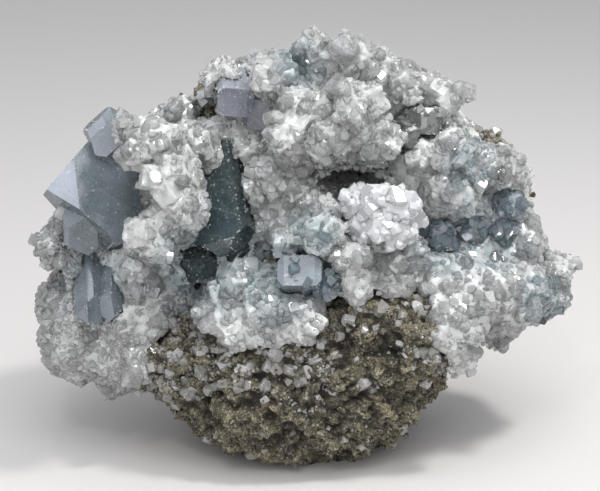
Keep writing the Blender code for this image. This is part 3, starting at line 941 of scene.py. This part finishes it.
class CELESTITE_OT_large_crystals(bpy.types.Operator):
    """Finish the large crystals, group by group"""

    bl_idname = "celestite.large_crystals"
    bl_label = "Large crystals"

    def execute(self, context):
        colours = context.scene.celestite_colours
        wear = context.scene.celestite_sizes.edge_wear
        chance = random.Random(13)
        grown = []
        edges = []
        for node, (colour, painted_sheen, way, slot) in LARGE_GROUPS.items():
            tints = tuple(getattr(colours, colour)), tuple(getattr(colours, painted_sheen))
            material = large_crystal_material(node, *tints, CRYSTAL_DENSITY)
            bm = merged(node)
            bmesh.ops.dissolve_limit(
                bm, angle_limit=FLAT_ANGLE, verts=bm.verts[:], edges=bm.edges[:]
            )
            tones = []
            # Painted reflection: faces that look the group's way take the paler colour by their tone, with
            # a little random tone on every face.
            for face in bm.faces:
                facing = max(0, face.normal.dot(way.normalized())) ** 5
                tones.append(min(1, 0.75 * facing + 0.3 * chance.random()))
            edges += self.along_edges(bm, chance)
            crystals = object_of(bm, node + "_clear", material)
            give_tones(crystals.data, tones, "FACE")
            bevel = crystals.modifiers.new("wear", "BEVEL")
            bevel.width = wear
            bevel.segments = 2
            bevel.angle_limit = WORN_ANGLE
            dress(crystals, slot, node)
            grown.append(crystals)
            if node in COATED_GROUPS:
                self.coat(crystals, node, tints, chance)
            if node == "white_crystals":
                self.spray(crystals, material, chance)
        self.specks(context.scene.celestite_sizes, colours, grown, edges, chance)
        return {"FINISHED"}

    def along_edges(self, bm, chance):
        """Places in broken lines along the crystals' edges, for white specks: a painted highlight along
        the edges, given as tiny crystals.
        """
        found = []
        for edge in bm.edges:
            start, end = (vert.co for vert in edge.verts)
            for _ in range(int(edge.calc_length() / EDGE_SPECK_SPACING)):
                place = start.lerp(end, chance.random())
                if patchiness(place, 5) > 0.12:
                    normal = (edge.verts[0].normal + edge.verts[1].normal).normalized()
                    found.append((place, normal))
        return found

    def coat(self, crystals, node, tints, chance):
        """Small crystals of the group's own colour, all over it."""
        width = bpy.context.scene.celestite_sizes.druse_crystal
        material = druse_material(node + "_coat", shade_of(tints[0], 1.6), shade_of(tints[1], 1.2), 0.7)
        templates = [crystal_template(chance, chance.choice((0, 0.1))) for _ in range(5)]

        def anywhere(place, normal):
            return inside_box(place, width)

        seats = []
        for place, normal in scattered(crystals, COATED_GROUPS[node], chance, anywhere):
            size = width * (0.4 + 1.2 * chance.random() ** 2)
            way = spread_way(normal, chance, 0.6)
            turn = chance.uniform(0, FULL_TURN)
            foot = place - way * size * SINK["druse"]
            seats.append((foot, way, size, turn, chance.random() ** 2))
        dress(joined_copies(node + "_coat", templates, seats, material), LARGE_GROUPS[node][3])

    def spray(self, crystals, material, chance):
        """White blades that stand out of the spray all round, away from its heart."""
        sizes = bpy.context.scene.celestite_sizes
        templates = [crystal_template(chance, chance.choice((0, 0.1)), 0.03) for _ in range(6)]
        heart = WHITE_HEART * MM

        def ahead(place, normal):
            return normal.dot(place - heart) > 0 and inside_box(place, 3 * MM)

        seats = []
        for place, normal in scattered(crystals, sizes.spine_count, chance, ahead):
            way = spread_way((place - heart).normalized(), chance, 0.25)
            size = sizes.druse_crystal * chance.uniform(0.6, 1.5)
            turn = chance.uniform(0, FULL_TURN)
            foot = place - way * size * SINK["spine"]
            seats.append((foot, way, size, turn, chance.random()))
        dress(joined_copies("white_spray", templates, seats, material), "white_celestite")

    def specks(self, sizes, colours, grown, edges, chance):
        """Tiny crystals on the large ones: on faces, fewer towards their tips, and along edges."""
        crust = surface_tree("druse_crust", "matrix")
        frost = tuple(colours.frost)
        material = druse_material("specks", shade_of(colours.druse, 0.9), frost, 0.6)
        templates = [crystal_template(chance, kinds=1) for _ in range(4)]

        def rooted(place, normal):
            reach = crust.find_nearest(place)[3]
            return chance.random() < 0.12 + math.exp(-reach / SPECK_REACH)

        seats = []
        for place, normal in edges:
            size = sizes.sugar_crystal * chance.uniform(0.25, 0.5)
            if inside_box(place, size):
                way = spread_way(normal, chance, 0.7)
                foot = place - normal * size * SINK["edge_speck"]
                # Full tone, so frost white: a painted highlight along the edges.
                seats.append((foot, way, size, chance.uniform(0, FULL_TURN), 1))
        for crystals in grown:
            for place, normal in scattered(crystals, sizes.speck_count, chance, rooted):
                size = sizes.sugar_crystal * (0.3 + 0.6 * chance.random() ** 2)
                if inside_box(place, size):
                    turn = chance.uniform(0, FULL_TURN)
                    foot = place - normal * size * SINK["speck"]
                    way = spread_way(normal, chance, 0.7)
                    seats.append((foot, way, size, turn, 0.6 * chance.random()))
        dress(joined_copies("crystal_specks", templates, seats, material), "druse")


class CELESTITE_OT_bright_facets(bpy.types.Operator):
    """Set the crystals whose flat faces catch the key light"""

    bl_idname = "celestite.bright_facets"
    bl_label = "Bright facets"

    def execute(self, context):
        colours = context.scene.celestite_colours
        material = druse_material("bright_facet", shade_of(colours.frost, 0.85), tuple(colours.frost), 0.5)
        tree = surface_tree("druse_crust", "matrix", *LARGE_GROUPS)
        chance = random.Random(17)
        camera, key = camera_place(), LIGHTS["key"][0]
        templates = [crystal_template(chance, 0.28) for _ in range(4)]
        seats = []
        for x, z, width in BRIGHT_FACETS:
            seen = (Vector((x, FACET_PLANE, z)) * MM - camera).normalized()
            place = tree.ray_cast(camera, seen)[0]
            half = ((camera - place).normalized() + (key - place).normalized()).normalized()
            size = width * MM
            foot = place - half * size * SINK["facet"]
            seats.append((foot, half, size, chance.uniform(0, FULL_TURN), 0.6))
        dress(joined_copies("bright_facets", templates, seats, material), "druse")
        return {"FINISHED"}


class CELESTITE_OT_stage(bpy.types.Operator):
    """Set the pale floor and backdrop, the lights and the camera"""

    bl_idname = "celestite.stage"
    bl_label = "Stage"

    def execute(self, context):
        scene = context.scene
        scene.view_settings.view_transform = "Standard"
        shader = Shader("floor")
        shader.set(Base_Color=tuple(scene.celestite_colours.floor), Roughness=0.75, IOR=FLOOR_IOR)
        bm = bmesh.new()
        bmesh.ops.create_grid(bm, x_segments=2, y_segments=120, size=FLOOR_REACH)
        for vert in bm.verts:
            past = vert.co.y - FLOOR_TURN
            if past > 0:
                angle = min(past / FLOOR_RADIUS, math.pi / 2)
                rise = past - FLOOR_RADIUS * angle
                vert.co.y = FLOOR_TURN + FLOOR_RADIUS * math.sin(angle)
                vert.co.z = FLOOR_RADIUS * (1 - math.cos(angle)) + rise
        floor = object_of(bm, "floor", shader.material)
        floor.data.shade_smooth()

        world = bpy.data.worlds.new("studio")
        world.use_nodes = True
        background = world.node_tree.nodes["Background"]
        background.inputs["Color"].default_value = (0.93, 0.95, 1, 1)
        background.inputs["Strength"].default_value = SKY_STRENGTH
        scene.world = world
        for name, settings in LIGHTS.items():
            self.light(name, *settings)

        data = bpy.data.cameras.new("camera")
        data.sensor_width = 36
        data.lens = CAMERA_LENS
        camera = bpy.data.objects.new("camera", data)
        camera.location = camera_place()
        camera.rotation_euler = (math.pi / 2 - CAMERA_TILT, 0, 0)
        scene.collection.objects.link(camera)
        scene.camera = camera
        return {"FINISHED"}

    def light(self, name, place, target, size, power, colour):
        data = bpy.data.lights.new(name, "AREA")
        data.size = size
        data.energy = power
        data.color = colour
        lamp = bpy.data.objects.new(name, data)
        lamp.location = place
        lamp.rotation_euler = (target - place).to_track_quat("-Z", "Y").to_euler()
        bpy.context.scene.collection.objects.link(lamp)


class CELESTITE_PT_panel(bpy.types.Panel):
    """Lists the pieces, their sizes and their colours"""

    bl_idname = "CELESTITE_PT_panel"
    bl_label = "Celestite cluster"
    bl_space_type = "VIEW_3D"
    bl_region_type = "UI"
    bl_category = "Celestite"

    def draw(self, context):
        for operator in OPERATORS:
            self.layout.operator(operator.bl_idname)
        for group in (context.scene.celestite_sizes, context.scene.celestite_colours):
            for name in group.__annotations__:
                self.layout.prop(group, name)


OPERATORS = (
    CELESTITE_OT_stage,
    CELESTITE_OT_rock,
    CELESTITE_OT_druse,
    CELESTITE_OT_hollow,
    CELESTITE_OT_large_crystals,
    CELESTITE_OT_bright_facets,
)
CLASSES = (CelestiteSizes, CelestiteColours, *OPERATORS, CELESTITE_PT_panel)


def register():
    for made in CLASSES:
        bpy.utils.register_class(made)
    bpy.types.Scene.celestite_sizes = PointerProperty(type=CelestiteSizes)
    bpy.types.Scene.celestite_colours = PointerProperty(type=CelestiteColours)


def unregister():
    del bpy.types.Scene.celestite_colours
    del bpy.types.Scene.celestite_sizes
    for made in reversed(CLASSES):
        bpy.utils.unregister_class(made)


def main():
    register()
    bpy.ops.celestite.stage()
    bpy.ops.celestite.rock()
    bpy.ops.celestite.druse()
    bpy.ops.celestite.hollow()
    bpy.ops.celestite.large_crystals()
    bpy.ops.celestite.bright_facets()


if __name__ == "__main__":
    main()
